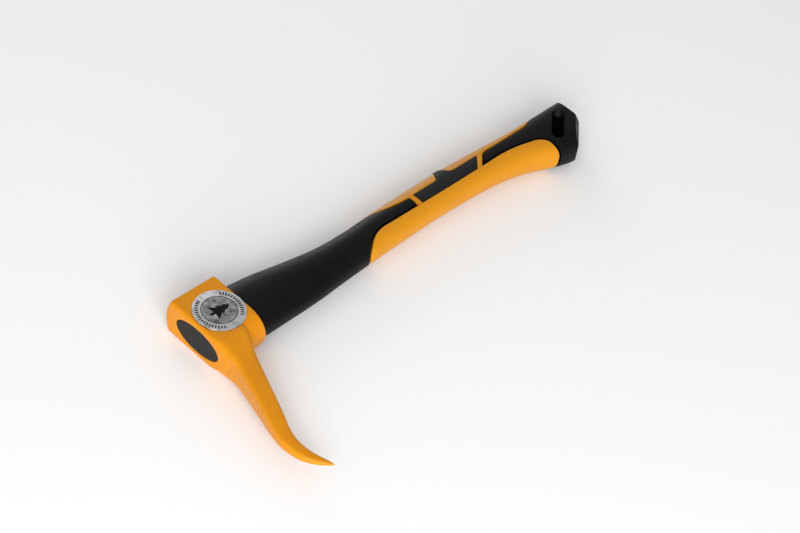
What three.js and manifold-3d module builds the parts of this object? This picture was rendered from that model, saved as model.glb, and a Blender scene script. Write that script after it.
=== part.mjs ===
// A one-hand log pick: a forged, lacquered head with one long hooked pick, cast with resin onto a fibreglass core
// that carries a black moulded body, a yellow grip and a thumb rest. Millimetres. The tool lies on one cheek:
// +X runs from the open end of the eye to the butt, +Y to the poll, +Z up. Its own origin is under its middle.

import * as THREE from 'three';
import { mergeVertices } from 'three/addons/utils/BufferGeometryUtils.js';
import Module from 'manifold-3d';

const wasm = await Module();
wasm.setup();

// Driving dimensions.
const FIT_GAP = 0.3;              // between pieces that lie against each other
const CHEEK = 15.3;               // half the head's width over its two flat cheeks
const EYE_END_X = -23;            // face where the eye is open and the resin shows
const NECK_X = 18.8;              // face where the handle leaves the head
const POLL_Y = 27.5;              // edge of the poll at the cheeks
const POLL_CROWN = 4;             // how far the poll bulges at its middle
const NOSE_Y = -13;               // where the cheeks start to round towards the front of the eye
const NOSE_LENGTH = 16.8;         // length of that rounding at the neck
const NOSE_FLARE = 0.14;          // how much longer it gets per millimetre towards the open end
const HEAD_EDGE = 2.4;            // rounding of the edges round the open end of the eye block
const EYE_Y = -2.4;               // middle of the eye
const EYE_OPEN = [22.2, 10.9];    // eye, half sizes at its open end
const EYE_NECK = [20.4, 10];      // eye, half sizes at the neck
const BADGE_RADIUS = 19.6;
const BADGE_X = -0.9;
const BADGE_THICK = 0.8;
const BADGE_PROUD = 0.3;          // how far the badge stands out of its pocket
const GLUE_THICK = 0.4;
const CORE_Y = -4.5;              // the core is straight, so its middle is the same all along
const CORE = [9, 5];              // core, half sizes
const CORE_START_X = -17;
const CORE_END_X = 322;
const DAM_LENGTH = 6;             // rubber ring at the neck end of the eye
const BUTT_X = 370.5;             // flat end of the butt
const GRIP_DEPTH = 3;             // thickness of the yellow grip and of the thumb rest
const REST_PROUD = 0.8;           // how far the thumb rest stands out of the grip
const LAND_TOP = 1.5;             // upper edge of the black side strips, before the thumb rest
const REAR_LAND_TOP = 2;          // and behind it
const LAND_LOW = -9.5;            // lower edge of the black side strips
const BUTT_EDGE = 4;              // rounding of the butt's outline towards its cheeks
const BUTT_EDGE_DEPTH = 7;        // and how far down from the cheek that rounding starts
const SLOT_MIDDLE = [346.5, -14.5]; // hanging slot, seen from the side
const SLOT_ANGLE = 42;            // degrees, measured from the handle's length
const SLOT_STRAIGHT = 20;         // distance between the centres of the slot's round ends
const SLOT_RADIUS = 4.5;

// The handle's side profile: place along X, spine, belly, half thickness and squareness of the section there.
const HANDLE = [
  [19, 22.6, -27.2, 12.8, 2.5],
  [45, 20.1, -27, 12.4, 2.4],
  [75, 14.9, -26.4, 12.1, 2.2],
  [105, 10.3, -24.1, 12, 2.2],
  [130, 9.7, -22.5, 12, 2.2],
  [165, 11.4, -21, 12, 2.2],
  [205, 12.6, -19.7, 12, 2.2],
  [245, 12.4, -20.1, 12.2, 2.2],
  [280, 10.8, -22.3, 12.6, 2.3],
  [305, 9, -27.1, 13.4, 2.5],
  [325, 8.2, -33.6, 14.4, 2.8],
  [345, 7.9, -38.6, 15.3, 3],
  [386, 8.4, -39, 15.3, 3],
];

// The pick from its root in the eye block to its point: outer edge, inner edge and half thickness.
const PICK = [
  [-22, -6, 7, -6, CHEEK, 8],
  [-21.8, -22, 4.6, -23, CHEEK, 8],
  [-23.6, -44, -3.4, -42, 11.8, 5],
  [-27.4, -60, -10.7, -60, 10, 5],
  [-31.8, -75, -16.6, -75.5, 8.5, 5],
  [-36.6, -90, -22, -90, 6.8, 4.5],
  [-40.6, -106, -28.6, -105.5, 5, 4.5],
  [-41, -116, -30.6, -116, 4.1, 4],
  [-39, -126.5, -30, -126, 3.3, 4],
  [-33.8, -136, -27.6, -134.2, 2.4, 3.5],
  [-27.8, -142.4, -25.2, -140.4, 1.5, 3],
  [-24.4, -145.4, -24, -144.8, 0.6, 3],
];

function steady(table, column, at) {
  const places = table.map((row) => row[0]);
  const values = table.map((row) => row[column]);
  return new THREE.CubicInterpolant(places, values, 1).evaluate(at)[0];
}

// One coordinate of a circle pulled out towards a square. Rounding noise would tear the seam, so it counts as zero.
function squared(share, power) {
  const noise = 1e-9;
  return Math.abs(share) < noise ? 0 : Math.sign(share) * Math.abs(share) ** (2 / power);
}

// A closed cylinder of unit size is the start of every lofted piece. section(along) gives its middle, the direction
// across it, its half width across, its half thickness along Z and its squareness.
function loft(around, steps, section) {
  const geometry = new THREE.CylinderGeometry(1, 1, 1, around, steps);
  const position = geometry.attributes.position;
  const unit = new THREE.Vector3();
  for (let i = 0; i < position.count; i++) {
    unit.fromBufferAttribute(position, i);
    const { middle, across, width, thickness, power } = section(unit.y + 0.5);
    const radius = Math.hypot(unit.x, unit.z);
    const turn = Math.atan2(unit.x, unit.z);
    const place = across.clone().multiplyScalar(radius * width * squared(Math.cos(turn), power)).add(middle);
    place.z += radius * thickness * squared(Math.sin(turn), power);
    position.setXYZ(i, place.x, place.y, place.z);
  }
  return geometry;
}

// An oval rod along X whose half sizes change evenly from one end to the other.
function ovalRod(startX, endX, middleY, startHalf, endHalf, power, around = 40) {
  return loft(around, 1, (along) => ({
    middle: new THREE.Vector3(THREE.MathUtils.lerp(startX, endX, along), middleY, 0),
    across: new THREE.Vector3(0, 1, 0),
    width: THREE.MathUtils.lerp(startHalf[0], endHalf[0], along),
    thickness: THREE.MathUtils.lerp(startHalf[1], endHalf[1], along),
    power,
  }));
}

function solid(geometry) {
  const plain = geometry.clone();
  plain.deleteAttribute('normal');
  plain.deleteAttribute('uv');
  const merged = mergeVertices(plain, 1e-4);
  return new wasm.Manifold(new wasm.Mesh({
    numProp: 3,
    vertProperties: new Float32Array(merged.attributes.position.array),
    triVerts: new Uint32Array(merged.index.array),
  }));
}

function piece(name, manifold, material) {
  const mesh = manifold.getMesh();
  const geometry = new THREE.BufferGeometry();
  geometry.setAttribute('position', new THREE.BufferAttribute(new Float32Array(mesh.vertProperties), 3));
  geometry.setIndex(new THREE.BufferAttribute(new Uint32Array(mesh.triVerts), 1));
  geometry.computeVertexNormals();
  const result = new THREE.Mesh(geometry, material);
  result.name = name;
  return result;
}

// An outline drawn in the tool's side view, X by Y, carried straight through the handle along Z.
function throughCut(shape, curveSegments = 8) {
  const depth = 60;
  const geometry = new THREE.ExtrudeGeometry(shape, { depth, bevelEnabled: false, curveSegments });
  return solid(geometry.translate(0, 0, -depth / 2));
}

// Head: the eye block is one outline, seen along the handle. Only its open end is rounded: at the neck it is cut off
// square. Its front grows longer towards the open end, where the pick leaves it.
function eyeBlock() {
  const outline = new THREE.Shape();
  outline.moveTo(NOSE_Y, -CHEEK);
  outline.lineTo(POLL_Y, -CHEEK);
  outline.quadraticCurveTo(POLL_Y + 2 * POLL_CROWN, 0, POLL_Y, CHEEK);
  outline.lineTo(NOSE_Y, CHEEK);
  outline.absellipse(NOSE_Y, 0, NOSE_LENGTH, CHEEK, Math.PI / 2, 1.5 * Math.PI, false);
  const geometry = new THREE.ExtrudeGeometry(outline, {
    depth: NECK_X - EYE_END_X,
    bevelThickness: HEAD_EDGE,
    bevelSize: HEAD_EDGE,
    bevelOffset: -HEAD_EDGE,
    bevelSegments: 3,
    curveSegments: 12,
  });
  const turned = new THREE.Matrix4().makeBasis(
    new THREE.Vector3(0, 1, 0), new THREE.Vector3(0, 0, 1), new THREE.Vector3(1, 0, 0));
  turned.setPosition(EYE_END_X + HEAD_EDGE, 0, 0);
  const beyondNeck = 20;
  const waste = wasm.Manifold.cube([beyondNeck, 200, 200], true).translate([NECK_X + beyondNeck / 2, 0, 0]);
  return solid(geometry.applyMatrix4(turned)).subtract(waste).warp((corner) => {
    const past = corner[1] - NOSE_Y;
    if (past < 0) corner[1] += past * NOSE_FLARE / NOSE_LENGTH * (NECK_X - corner[0]);
  });
}

function pickBlade() {
  const outer = new THREE.SplineCurve(PICK.map(([x, y]) => new THREE.Vector2(x, y)));
  const inner = new THREE.SplineCurve(PICK.map(([, , x, y]) => new THREE.Vector2(x, y)));
  const rows = PICK.map((row, index) => [index, ...row]);
  return solid(loft(24, 33, (along) => {
    const outerPoint = outer.getPoint(along);
    const innerPoint = inner.getPoint(along);
    const across = innerPoint.clone().sub(outerPoint);
    const middle = innerPoint.clone().add(outerPoint).multiplyScalar(0.5);
    const row = along * (PICK.length - 1);
    return {
      middle: new THREE.Vector3(middle.x, middle.y, 0),
      across: new THREE.Vector3(across.x, across.y, 0).normalize(),
      width: across.length() / 2,
      thickness: Math.min(CHEEK, steady(rows, 5, row)),
      power: steady(rows, 6, row),
    };
  }));
}

// The badge lies in a shallow round pocket in the upper cheek, on its glue.
function badgeDisc(radius, low, high) {
  const geometry = new THREE.CylinderGeometry(radius, radius, high - low, 48);
  return solid(geometry.rotateX(Math.PI / 2).translate(BADGE_X, 0, (low + high) / 2));
}
const badgeTop = CHEEK + BADGE_PROUD;
const badgeLow = badgeTop - BADGE_THICK;
const glueTop = badgeLow - FIT_GAP;
const glueLow = glueTop - GLUE_THICK;

const eyeHole = solid(ovalRod(EYE_END_X - 1, NECK_X + 1, EYE_Y, EYE_OPEN, EYE_NECK, 2));
const badgePocket = badgeDisc(BADGE_RADIUS + FIT_GAP, glueLow - FIT_GAP, badgeTop + 5);
const head = eyeBlock().add(pickBlade()).subtract(eyeHole).subtract(badgePocket);

// Core, resin and dam fill the eye. The resin hides the end of the core.
const grown = (half, by) => half.map((size) => size + by);
const core = solid(ovalRod(CORE_START_X, CORE_END_X, CORE_Y, CORE, CORE, 3, 24));
const coreHole = solid(ovalRod(
  CORE_START_X - FIT_GAP, CORE_END_X + FIT_GAP, CORE_Y, grown(CORE, FIT_GAP), grown(CORE, FIT_GAP), 3, 24));
const damStartX = NECK_X - DAM_LENGTH;
const eyeFill = (startX, endX) => {
  const size = (x, side) => THREE.MathUtils.mapLinear(
    x, EYE_END_X - 1, NECK_X + 1, EYE_OPEN[side] - FIT_GAP, EYE_NECK[side] - FIT_GAP);
  const rod = ovalRod(startX, endX, EYE_Y, [size(startX, 0), size(startX, 1)], [size(endX, 0), size(endX, 1)], 2);
  return solid(rod).subtract(coreHole);
};
const resin = eyeFill(EYE_END_X + FIT_GAP, damStartX - FIT_GAP);
const dam = eyeFill(damStartX, NECK_X);

// Handle skin at a chosen depth below (or, if negative, above) the outer surface.
function handleSkin(depth, startX, endX, around, steps) {
  return solid(loft(around, steps, (along) => {
    const x = THREE.MathUtils.lerp(startX, endX, along);
    const spine = steady(HANDLE, 1, x);
    const belly = steady(HANDLE, 2, x);
    return {
      middle: new THREE.Vector3(x, (spine + belly) / 2, 0),
      across: new THREE.Vector3(0, 1, 0),
      width: (spine - belly) / 2 - depth,
      thickness: steady(HANDLE, 3, x) - depth,
      power: steady(HANDLE, 4, x),
    };
  }));
}

// The butt is cut off square at its end and slanted towards the belly. The outline is drawn inside the rounded edge.
function buttCut() {
  const endX = BUTT_X - BUTT_EDGE;
  const outline = new THREE.Shape();
  outline.moveTo(-40, 36);
  outline.lineTo(335, 36);
  outline.lineTo(352, 5);
  outline.lineTo(endX - 2.5, 4.6);
  outline.quadraticCurveTo(endX, 4.4, endX, 2);
  outline.lineTo(endX, -13.5);
  outline.quadraticCurveTo(endX, -15.8, endX - 1.8, -17.3);
  outline.lineTo(349.5, -30.7);
  outline.quadraticCurveTo(342, -37.5, 328, -46);
  outline.lineTo(-40, -46);
  const depth = 2 * (CHEEK - BUTT_EDGE_DEPTH);
  const geometry = new THREE.ExtrudeGeometry(outline, {
    depth,
    bevelThickness: BUTT_EDGE_DEPTH,
    bevelSize: BUTT_EDGE,
    bevelSegments: 4,
    curveSegments: 5,
  });
  return solid(geometry.translate(0, 0, -depth / 2));
}

function hangSlot() {
  const slot = new THREE.Shape();
  const reach = SLOT_STRAIGHT / 2;
  slot.absarc(reach, 0, SLOT_RADIUS, -Math.PI / 2, Math.PI / 2, false);
  slot.absarc(-reach, 0, SLOT_RADIUS, Math.PI / 2, 1.5 * Math.PI, false);
  const cut = throughCut(slot, 6);
  return cut.rotate([0, 0, SLOT_ANGLE]).translate([...SLOT_MIDDLE, 0]);
}

// Outlines of the grip in side view. grow widens them, for the recess that the grip lies in.
function bellyPanel(grow) {
  const panel = new THREE.Shape();
  panel.moveTo(123.5 - grow, -30);
  panel.lineTo(139 - grow, -16 + grow);
  panel.quadraticCurveTo(146.5 - grow, LAND_LOW + grow, 158, LAND_LOW + grow);
  panel.lineTo(284, LAND_LOW + grow);
  panel.quadraticCurveTo(300, -10.4 + grow, 312, -14.3 + grow);
  panel.quadraticCurveTo(325.3 + grow, -17.4 + grow, 325.6 + grow, -27);
  panel.quadraticCurveTo(326 + grow, -31, 327.5 + grow, -36);
  panel.lineTo(328 + grow, -46);
  panel.lineTo(123.5 - grow, -46);
  return panel;
}
function frontSpine(grow) {
  const strip = new THREE.Shape();
  strip.moveTo(146 - grow, 20);
  strip.lineTo(150 - grow, 12.3);
  strip.quadraticCurveTo(170 - grow, 2.3 - grow, 191, LAND_TOP - grow);
  strip.lineTo(221.5, LAND_TOP - grow);
  strip.quadraticCurveTo(224.5 + grow, LAND_TOP - grow, 225.6 + grow, 4.4);
  strip.lineTo(229.7 + grow, 9.1);
  strip.lineTo(233 + grow, 12.8);
  strip.lineTo(233 + grow, 20);
  return strip;
}
function rearSpine(grow) {
  const strip = new THREE.Shape();
  strip.moveTo(236 - grow, 20);
  strip.lineTo(236.8 - grow, 10);
  strip.lineTo(239 - grow, 4);
  strip.quadraticCurveTo(239.6 - grow, REAR_LAND_TOP - grow, 243, REAR_LAND_TOP - grow);
  strip.lineTo(318, REAR_LAND_TOP - grow);
  strip.quadraticCurveTo(333 + grow, 1.4 - grow, 338 + grow, 10.5);
  strip.lineTo(340 + grow, 20);
  return strip;
}
// A bar links spine and belly: its two ends may be shifted along the handle, which slants it.
function crossBar(topX, lowX, topWidth, lowWidth, grow) {
  const bar = new THREE.Shape();
  const reach = 1;
  bar.moveTo(lowX - lowWidth / 2 - grow, LAND_LOW - reach);
  bar.lineTo(lowX + lowWidth / 2 + grow, LAND_LOW - reach);
  bar.lineTo(topX + topWidth / 2 + grow, REAR_LAND_TOP + reach);
  bar.lineTo(topX - topWidth / 2 - grow, REAR_LAND_TOP + reach);
  return bar;
}
const FRONT_BAR = [195.8, 195.8, 4.1, 4.1];
const REAR_BAR = [273.7, 260.4, 6.6, 4.8];

const gripCut = throughCut(bellyPanel(0))
  .add(throughCut(frontSpine(0)))
  .add(throughCut(rearSpine(0)))
  .add(throughCut(crossBar(...FRONT_BAR, 0)))
  .add(throughCut(crossBar(...REAR_BAR, 0)));
const gripRecess = throughCut(bellyPanel(FIT_GAP))
  .add(throughCut(frontSpine(FIT_GAP)))
  .add(throughCut(rearSpine(FIT_GAP)))
  .add(throughCut(crossBar(...FRONT_BAR, FIT_GAP)))
  .add(throughCut(crossBar(...REAR_BAR, FIT_GAP)));

// The thumb rest fills the window between the two bars and the break in the spine strip. It is drawn too large: what
// the grip's recess takes is cut off it.
function restWindow() {
  const window = new THREE.Shape();
  window.moveTo(FRONT_BAR[0], LAND_LOW);
  window.lineTo(REAR_BAR[1], LAND_LOW);
  window.lineTo(REAR_BAR[0], 5);
  window.lineTo(250, 5);
  window.lineTo(245, 20);
  window.lineTo(215, 20);
  window.lineTo(215, LAND_TOP);
  window.lineTo(FRONT_BAR[0], LAND_TOP);
  return window;
}
const restCut = throughCut(restWindow());

const outerSkin = handleSkin(0, NECK_X + FIT_GAP, BUTT_X + 3, 32, 40).intersect(buttCut());
const outerRest = handleSkin(-REST_PROUD, 190, 285, 32, 12);
const gripInside = handleSkin(GRIP_DEPTH, 100, 345, 24, 20);
const bodyInside = handleSkin(GRIP_DEPTH + FIT_GAP, 100, 345, 24, 20);

const grip = outerSkin.intersect(gripCut).subtract(gripInside);
const thumbRest = outerRest.intersect(restCut).subtract(gripInside).subtract(gripRecess);
const body = outerSkin.subtract(gripRecess).subtract(restCut).add(bodyInside).subtract(coreHole).subtract(hangSlot());

const lacquer = new THREE.MeshStandardMaterial({ color: 0xe08c0a, roughness: 0.35, metalness: 0 });
const greyResin = new THREE.MeshStandardMaterial({ color: 0x3f3d3e, roughness: 0.6, metalness: 0 });
const blackRubber = new THREE.MeshStandardMaterial({ color: 0x1c1c1c, roughness: 0.8, metalness: 0 });
const paleFibre = new THREE.MeshStandardMaterial({ color: 0xd8cfa0, roughness: 0.5, metalness: 0 });
const blackMoulding = new THREE.MeshStandardMaterial({ color: 0x1a1b1b, roughness: 0.5, metalness: 0 });
const yellowMoulding = new THREE.MeshStandardMaterial({ color: 0xd98f1c, roughness: 0.5, metalness: 0 });
const softBlack = new THREE.MeshStandardMaterial({ color: 0x1f2122, roughness: 0.7, metalness: 0 });
const stampedMetal = new THREE.MeshStandardMaterial({ color: 0xa3a3a5, roughness: 0.35, metalness: 1 });
const clearGlue = new THREE.MeshStandardMaterial({ color: 0xd9d9d2, roughness: 0.6, metalness: 0 });

const tool = new THREE.Group();
tool.add(
  piece('pick_head', head, lacquer),
  piece('eye_resin', resin, greyResin),
  piece('resin_dam', dam, blackRubber),
  piece('fibreglass_core', core, paleFibre),
  piece('handle_body', body, blackMoulding),
  piece('yellow_grip', grip, yellowMoulding),
  piece('thumb_rest', thumbRest, softBlack),
  piece('badge_disc', badgeDisc(BADGE_RADIUS, badgeLow, badgeTop), stampedMetal),
  piece('badge_glue', badgeDisc(BADGE_RADIUS - 1, glueLow, glueTop), clearGlue),
);

// The tool's own origin: under the middle of its bounding box, on the surface it lies on.
const box = new THREE.Box3().setFromObject(tool);
const middle = box.getCenter(new THREE.Vector3());
tool.position.set(-middle.x, -middle.y, -box.min.z);

export default tool;
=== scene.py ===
import math
from bisect import bisect_right
from collections import namedtuple

import bmesh
import bpy
import numpy as np
from mathutils import Matrix, Vector


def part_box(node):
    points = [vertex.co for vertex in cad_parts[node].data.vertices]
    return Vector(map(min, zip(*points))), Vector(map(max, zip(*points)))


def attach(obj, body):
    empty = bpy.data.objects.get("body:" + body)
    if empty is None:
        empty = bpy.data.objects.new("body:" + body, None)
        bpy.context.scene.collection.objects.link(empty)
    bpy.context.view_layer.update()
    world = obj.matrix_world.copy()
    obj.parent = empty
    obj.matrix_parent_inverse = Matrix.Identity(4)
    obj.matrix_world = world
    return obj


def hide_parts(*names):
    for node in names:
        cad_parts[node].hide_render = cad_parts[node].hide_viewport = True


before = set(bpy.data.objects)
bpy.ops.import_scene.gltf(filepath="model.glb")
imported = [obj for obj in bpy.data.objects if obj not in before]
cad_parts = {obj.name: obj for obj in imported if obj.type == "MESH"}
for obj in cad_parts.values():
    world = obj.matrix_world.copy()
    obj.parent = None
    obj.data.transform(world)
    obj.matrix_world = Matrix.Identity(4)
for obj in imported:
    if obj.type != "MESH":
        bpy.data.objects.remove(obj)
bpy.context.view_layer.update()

# ---------------------------------------------------------------------------------------------
# Head: one steel forging, with flat cheeks, a slightly crowned poll and one long hooked pick drawn
# out of the front of the eye. It is shot-blasted and dipped in orange lacquer, so its edges are soft.

# The tool's own axes. X runs from the open end of the eye to the butt, Y to the poll, Z out of the
# upper cheek, in millimetres. The badge sits on the eye, so its middle gives the place of the axes,
# and the head's two flat cheeks give the height of the middle plane.
BADGE_X = -0.9
badge_low, badge_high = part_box("badge_disc")
head_low, head_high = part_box("pick_head")
eye_origin = Vector((
    (badge_low.x + badge_high.x) / 2 - BADGE_X / 1000,
    (badge_low.y + badge_high.y) / 2,
    (head_low.z + head_high.z) / 2,
))
tool_place = Matrix.Translation(eye_origin) @ Matrix.Scale(0.001, 4)

CHEEK = 15.3
EYE_END_X = -23.0
NECK_X = 18.8
POLL_Y = 27.5
POLL_CROWN = 4.0
NOSE_Y = -13.0
NOSE_LENGTH = 16.8
NOSE_FLARE = 0.14
OPEN_END_EDGE, NECK_END_EDGE = 2.6, 0.6
EYE_Y = -2.4
EYE_OPEN = (22.2, 10.9)
EYE_NECK = (20.4, 10.0)
BADGE_RADIUS = 19.6
POCKET_FLOOR, POCKET_ROOM = 14.4, 0.3
ROOT_STEP, LACQUER_SKIN = 0.02, 0.5
# Outer edge, inner edge, half thickness and squareness of the pick, from its root to its point.
PICK = (
    (0, -22, -6, 7, -6, 15.3, 8),
    (1, -21.8, -22, 4.6, -23, 15.3, 8),
    (2, -23.6, -44, -3.4, -42, 11.8, 5),
    (3, -27.4, -60, -10.7, -60, 10, 5),
    (4, -31.8, -75, -16.6, -75.5, 8.5, 5),
    (5, -36.6, -90, -22, -90, 6.8, 4.5),
    (6, -40.6, -106, -28.6, -105.5, 5, 4.5),
    (7, -41, -116, -30.6, -116, 4.1, 4),
    (8, -39, -126.5, -30, -126, 3.3, 4),
    (9, -33.8, -136, -27.6, -134.2, 2.4, 3.5),
    (10, -27.8, -142.4, -25.2, -140.4, 1.5, 3),
    (11, -24.4, -145.4, -24, -144.8, 0.6, 3),
)


def table_value(table, column, at):
    """A smooth value between the rows of a table, whose first column is the place."""
    places = [row[0] for row in table]
    values = [row[column] for row in table]
    steps = [(values[i + 1] - values[i]) / (places[i + 1] - places[i]) for i in range(len(table) - 1)]
    slopes = [steps[0], *((a + b) / 2 for a, b in zip(steps, steps[1:])), steps[-1]]
    row = min(max(bisect_right(places, at) - 1, 0), len(table) - 2)
    gap = places[row + 1] - places[row]
    t = (at - places[row]) / gap
    return (
        (2 * t**3 - 3 * t**2 + 1) * values[row] + (t**3 - 2 * t**2 + t) * gap * slopes[row]
        + (3 * t**2 - 2 * t**3) * values[row + 1] + (t**3 - t**2) * gap * slopes[row + 1]
    )


def squared(share, power):
    """One coordinate of a circle pulled out towards a square."""
    return math.copysign(abs(share) ** (2 / power), share)


def faced_out(bm):
    """Turns every face of a closed mesh outwards."""
    bmesh.ops.recalc_face_normals(bm, faces=bm.faces)
    if bm.calc_volume(signed=True) < 0:
        bmesh.ops.reverse_faces(bm, faces=bm.faces)
    return bm


def loft(around, steps, section, start, end):
    """A closed skin bent from a flat grid: section(along) gives middle, direction across, half width,
    half thickness and squareness of the ring there."""
    bm = bmesh.new()
    bmesh.ops.create_grid(bm, x_segments=steps, y_segments=around, size=1)
    rings = {}
    for vert in bm.verts:
        key = round(vert.co.x, 5)
        if key not in rings:
            rings[key] = section(start + (end - start) * (vert.co.x + 1) / 2)
        middle, across, width, thickness, power = rings[key]
        turn = (vert.co.y + 1) * math.pi
        vert.co = middle + across * (width * squared(math.cos(turn), power))
        vert.co.z += thickness * squared(math.sin(turn), power)
    bmesh.ops.remove_doubles(bm, verts=bm.verts, dist=1e-4)
    bmesh.ops.holes_fill(bm, edges=[e for e in bm.edges if e.is_boundary], sides=0)
    return faced_out(bm)


def scratch_object(name, bm):
    """A cutter or a blank that lives only until it has been cut with."""
    mesh = bpy.data.meshes.new(name)
    bm.to_mesh(mesh)
    bm.free()
    blank = bpy.data.objects.new(name, mesh)
    bpy.context.scene.collection.objects.link(blank)
    return blank


def machined(blank, cuts, after=None):
    """The blank after each (operation, tool) cut and the modifiers that after() adds, as a mesh."""
    for operation, tool in cuts:
        cut = blank.modifiers.new(operation.lower(), "BOOLEAN")
        cut.operation = operation
        cut.object = tool
        cut.solver = "EXACT"
    if after:
        after(blank)
    graph = bpy.context.evaluated_depsgraph_get()
    bm = bmesh.new()
    bm.from_mesh(blank.evaluated_get(graph).data)
    for used in [blank, *(tool for _, tool in cuts)]:
        mesh = used.data
        bpy.data.objects.remove(used)
        bpy.data.meshes.remove(mesh)
    return bm


def pick_section(row):
    """The pick's ring at this row of its table, a hair thinner than the cheeks where it leaves them."""
    outer = Vector((table_value(PICK, 1, row), table_value(PICK, 2, row), 0))
    inner = Vector((table_value(PICK, 3, row), table_value(PICK, 4, row), 0))
    across = inner - outer
    thickness = min(CHEEK - ROOT_STEP, table_value(PICK, 5, row))
    return (inner + outer) / 2, across.normalized(), across.length / 2, thickness, table_value(PICK, 6, row)


def eye_block():
    """The eye block: its outline seen along the handle, drawn out along X, then its end edges rounded."""
    bm = bmesh.new()
    bends = 20
    outline = [(NOSE_Y, -CHEEK), (POLL_Y, -CHEEK)]
    for i in range(1, bends):
        t = i / bends
        outline.append((POLL_Y + 4 * POLL_CROWN * t * (1 - t), (2 * t - 1) * CHEEK))
    outline += [(POLL_Y, CHEEK), (NOSE_Y, CHEEK)]
    for i in range(1, 2 * bends):
        turn = math.pi / 2 + math.pi * i / (2 * bends)
        outline.append((NOSE_Y + NOSE_LENGTH * math.cos(turn), CHEEK * math.sin(turn)))
    ring = [bm.verts.new((EYE_END_X, y, z)) for y, z in outline]
    start = bm.faces.new(ring)
    drawn = bmesh.ops.extrude_face_region(bm, geom=[start], use_keep_orig=True)
    far = [g for g in drawn["geom"] if isinstance(g, bmesh.types.BMVert)]
    bmesh.ops.translate(bm, vec=(NECK_X - EYE_END_X, 0, 0), verts=far)
    for vert in bm.verts:
        past = min(0, vert.co.y - NOSE_Y)
        vert.co.y += past * NOSE_FLARE / NOSE_LENGTH * (NECK_X - vert.co.x)
    bmesh.ops.recalc_face_normals(bm, faces=bm.faces)

    def ring_edges(x):
        return [e for e in bm.edges if all(abs(v.co.x - x) < 1e-6 for v in e.verts)]

    for edges, offset, segments in (
        (ring_edges(EYE_END_X), OPEN_END_EDGE, 6), (ring_edges(NECK_X), NECK_END_EDGE, 2),
    ):
        bmesh.ops.bevel(
            bm, geom=edges, offset=offset, offset_type="OFFSET", segments=segments, profile=0.5,
            affect="EDGES", clamp_overlap=True, material=-1)
    return bm


def round_disc(radius, low, high, around=96):
    """A flat disc round the badge's middle."""
    bm = bmesh.new()
    bmesh.ops.create_cone(
        bm, cap_ends=True, segments=around, radius1=radius, radius2=radius, depth=high - low,
        matrix=Matrix.Translation((BADGE_X, 0, (low + high) / 2)))
    return bm


def eye_section(x):
    """The tapered oval hole through the head."""
    share = (x - EYE_END_X + 1) / (NECK_X - EYE_END_X + 2)
    half = [a + (b - a) * share for a, b in zip(EYE_OPEN, EYE_NECK)]
    return Vector((x, EYE_Y, 0)), Vector((0, 1, 0)), half[0], half[1], 2


def soft_edges(blank):
    """The dip of lacquer rounds every edge and fills every inside corner."""
    skin = blank.modifiers.new("even_skin", "REMESH")
    skin.mode = "VOXEL"
    skin.voxel_size = LACQUER_SKIN
    skin.adaptivity = 0
    flow = blank.modifiers.new("lacquer_flow", "SMOOTH")
    flow.factor = 0.5
    flow.iterations = 8


eye_block_blank = scratch_object("eye_block_blank", eye_block())
pick_tool = scratch_object("pick_blank", loft(48, 110, pick_section, PICK[0][0], PICK[-1][0]))
eye_tool = scratch_object("eye_cut", loft(96, 2, eye_section, EYE_END_X - 1, NECK_X + 1))
badge_pocket = round_disc(BADGE_RADIUS + POCKET_ROOM, POCKET_FLOOR, CHEEK + 5)
pocket_tool = scratch_object("badge_pocket_cut", badge_pocket)
head_mesh = machined(eye_block_blank, [
    ("UNION", pick_tool),
    ("DIFFERENCE", eye_tool),
    ("DIFFERENCE", pocket_tool),
], soft_edges)


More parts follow.
